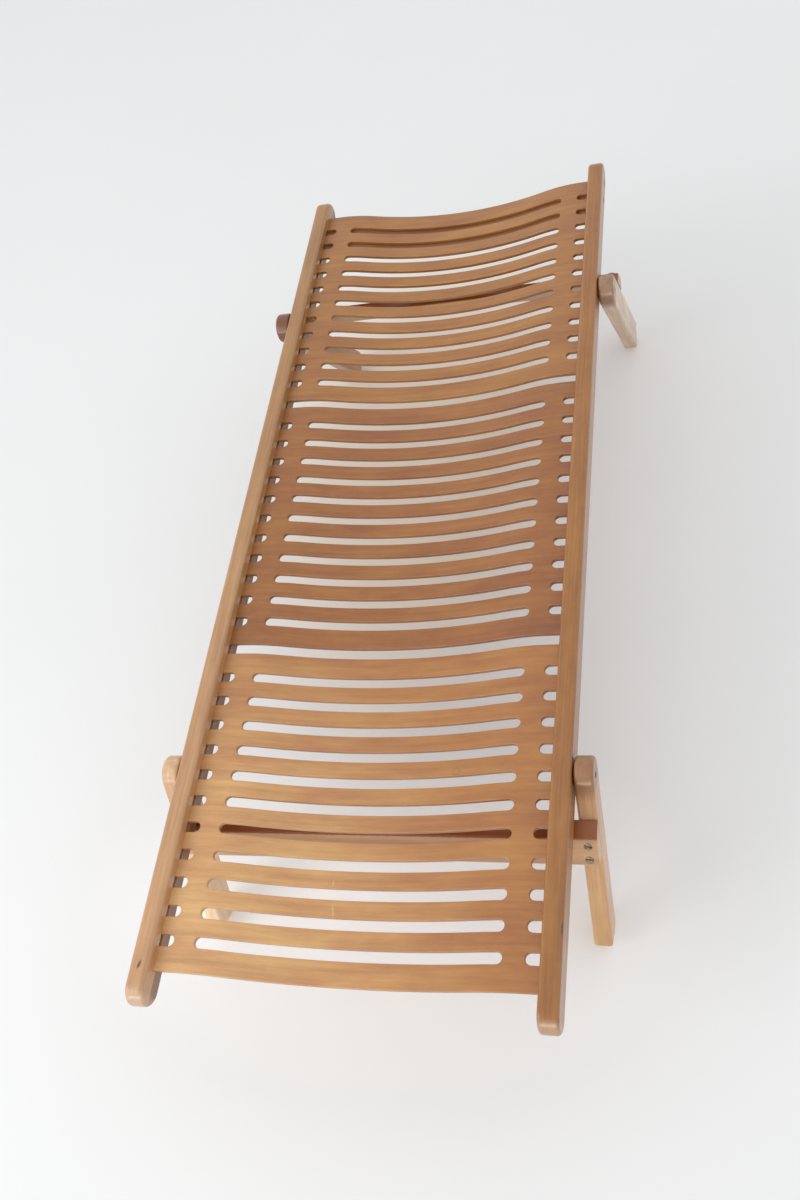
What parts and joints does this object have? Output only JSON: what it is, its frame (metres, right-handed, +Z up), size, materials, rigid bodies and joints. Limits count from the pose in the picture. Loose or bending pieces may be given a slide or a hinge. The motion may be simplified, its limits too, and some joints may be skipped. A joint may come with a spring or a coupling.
{
  "type": "folding child lounger",
  "caption": "Low slatted plywood lounger for a child, with side rails, a dished sloping bed and short leg frames that fold flat beneath it",
  "frame": {"origin": "on the floor, under the middle of the bed's box", "axes": "+X to the right and +Y towards the head end, both as seen from the foot end, +Z up; millimetres in the source, metres in this record"},
  "size_m": [0.5168, 1.2966, 0.3099],
  "materials": {
    "rail_wood": "clear varnished solid beech, satin",
    "panel_plywood": "clear varnished moulded beech plywood, satin",
    "leg_wood": "clear varnished solid beech, satin",
    "screw_steel": "plated steel, slightly dulled",
    "bolt_steel": "darkened steel",
    "buffer_rubber": "black rubber"
  },
  "bodies": {
    "bed": {"left_rail": "rail_wood", "right_rail": "rail_wood", "head_panel": "panel_plywood", "middle_panel": "panel_plywood", "foot_panel": "panel_plywood", "head_rib": "leg_wood", "rib_screws": "screw_steel", "stop_buffers": "buffer_rubber", "pivot_inserts": "bolt_steel", "pivot_washers": "screw_steel", "head_left_pivot_bolt": "bolt_steel", "head_right_pivot_bolt": "bolt_steel", "foot_left_pivot_bolt": "bolt_steel", "foot_right_pivot_bolt": "bolt_steel"},
    "head_frame": {"head_left_leg": "leg_wood", "head_right_leg": "leg_wood", "head_crossbar": "leg_wood", "head_crossbar_screws": "screw_steel"},
    "foot_frame": {"foot_left_leg": "leg_wood", "foot_right_leg": "leg_wood", "foot_crossbar": "leg_wood", "foot_crossbar_screws": "screw_steel"}
  },
  "joints": [
    {"name": "head_frame_fold", "type": "hinge", "parent": "bed", "child": "head_frame", "pos_m": [0, 0.37835, 0.26874], "axis": [-1, 0, 0], "range_deg": [0, 124]},
    {"name": "foot_frame_fold", "type": "hinge", "parent": "bed", "child": "foot_frame", "pos_m": [0, -0.37356, 0.21398], "axis": [1, 0, 0], "range_deg": [0, 119.5]}
  ]
}
